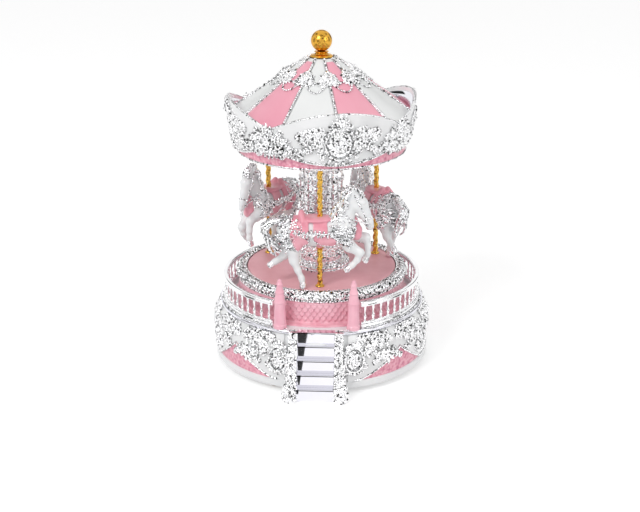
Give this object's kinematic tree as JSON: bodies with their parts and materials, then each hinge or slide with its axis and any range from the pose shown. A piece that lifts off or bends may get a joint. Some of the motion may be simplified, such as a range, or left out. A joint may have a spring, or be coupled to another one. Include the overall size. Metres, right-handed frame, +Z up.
{
  "type": "wind-up carousel music box",
  "caption": "Carousel music box with horses on twisted poles under a lobed canopy, on a round base with stairs; wound by a key underneath, its turntable turns with the cylinder.",
  "frame": {"origin": "on the turntable's axis, at the plane that the feet stand on", "axes": "+Z up along the turntable's axis, -Y towards the stairs, +X to the right as seen from the stairs"},
  "size_m": [0.1164, 0.1268, 0.1779],
  "materials": {
    "white_plastic": "gloss white moulding",
    "pearl_white": "pearl white lacquer",
    "roof_white": "satin pearl white lacquer",
    "pink_texture": "pink lacquer over a moulded scale texture",
    "roof_pink": "satin pink lacquer",
    "post_pink": "gloss pink lacquer",
    "disc_pink": "satin rose lacquer",
    "saddle_pink": "gloss rose lacquer",
    "horse_white": "gloss white with plated mane, tail and hooves",
    "chrome_trim": "bright plating over a carved relief",
    "mirror_chrome": "smooth bright plating",
    "gold_trim": "bright gold plating",
    "brass": "turned brass",
    "steel": "plain steel",
    "comb_steel": "hardened spring steel",
    "cast_zinc": "die-cast zinc, as cast",
    "foot_rubber": "pale translucent rubber"
  },
  "bodies": {
    "base": {"base_shell": "white_plastic", "base_panels": "pearl_white", "base_spandrels": "pink_texture", "base_relief": "chrome_trim", "bottom_cover": "white_plastic", "cover_screws": "steel", "foot_pads": "foot_rubber", "stair_steps": "mirror_chrome", "stair_stringer_left": "chrome_trim", "stair_stringer_right": "chrome_trim", "platform_drum": "pink_texture", "cornice_ring": "chrome_trim", "railing": "chrome_trim", "gate_post_left": "post_pink", "gate_post_right": "post_pink", "movement_plate": "cast_zinc", "comb": "comb_steel", "comb_screws": "brass", "cylinder_bracket": "steel", "governor_bracket": "brass", "movement_screws": "steel"},
    "carousel": {"spring_barrel": "brass", "barrel_lid": "brass", "mainspring": "comb_steel", "output_shaft": "steel", "turntable": "disc_pink", "column_base": "chrome_trim", "column": "mirror_chrome", "column_capital": "chrome_trim", "centre_rod": "steel", "ceiling_disc": "white_plastic", "canopy_roof": "roof_white", "roof_panels": "roof_pink", "roof_trim": "chrome_trim", "canopy_band": "pink_texture", "canopy_skirt": "pearl_white", "skirt_cartouches": "chrome_trim", "valley_shells": "chrome_trim", "finial_flange": "gold_trim", "finial_ball": "gold_trim", "horse_front": "horse_white", "horse_left": "horse_white", "horse_right": "horse_white", "saddle_front": "saddle_pink", "saddle_left": "saddle_pink", "saddle_right": "saddle_pink", "lower_sleeves": "gold_trim", "upper_sleeves": "gold_trim", "pole_rods": "steel", "rod_nuts": "steel"},
    "key": {"winding_key": "brass", "winding_arbor": "steel"},
    "cylinder": {"pin_cylinder": "brass", "cylinder_wheels": "brass"},
    "governor_wheel": {"governor_wheel": "brass"},
    "governor_fly": {"governor_fly": "steel"}
  },
  "joints": [
    {"name": "carousel_turn", "type": "hinge", "parent": "base", "child": "carousel", "pos_m": [0, 0, 0.0335], "axis": [0, 0, 1], "continuous": true},
    {"name": "key_turn", "type": "hinge", "parent": "base", "child": "key", "pos_m": [0, 0, 0.009], "axis": [0, 0, 1], "range_deg": [0, 2790]},
    {"name": "cylinder_turn", "type": "hinge", "parent": "base", "child": "cylinder", "pos_m": [0.026, 0, 0.02163], "axis": [1, 0, 0], "continuous": true},
    {"name": "governor_wheel_turn", "type": "hinge", "parent": "base", "child": "governor_wheel", "pos_m": [0.038, 0.009, 0.02163], "axis": [1, 0, 0], "continuous": true},
    {"name": "governor_fly_turn", "type": "hinge", "parent": "base", "child": "governor_fly", "pos_m": [0.04068, 0.0148, 0.02163], "axis": [0, 0, 1], "continuous": true}
  ],
  "couplings": [
    {"joint": "cylinder_turn", "follows": "carousel_turn", "ratio": 2},
    {"joint": "governor_wheel_turn", "follows": "carousel_turn", "ratio": -8},
    {"joint": "governor_fly_turn", "follows": "carousel_turn", "ratio": 240}
  ]
}
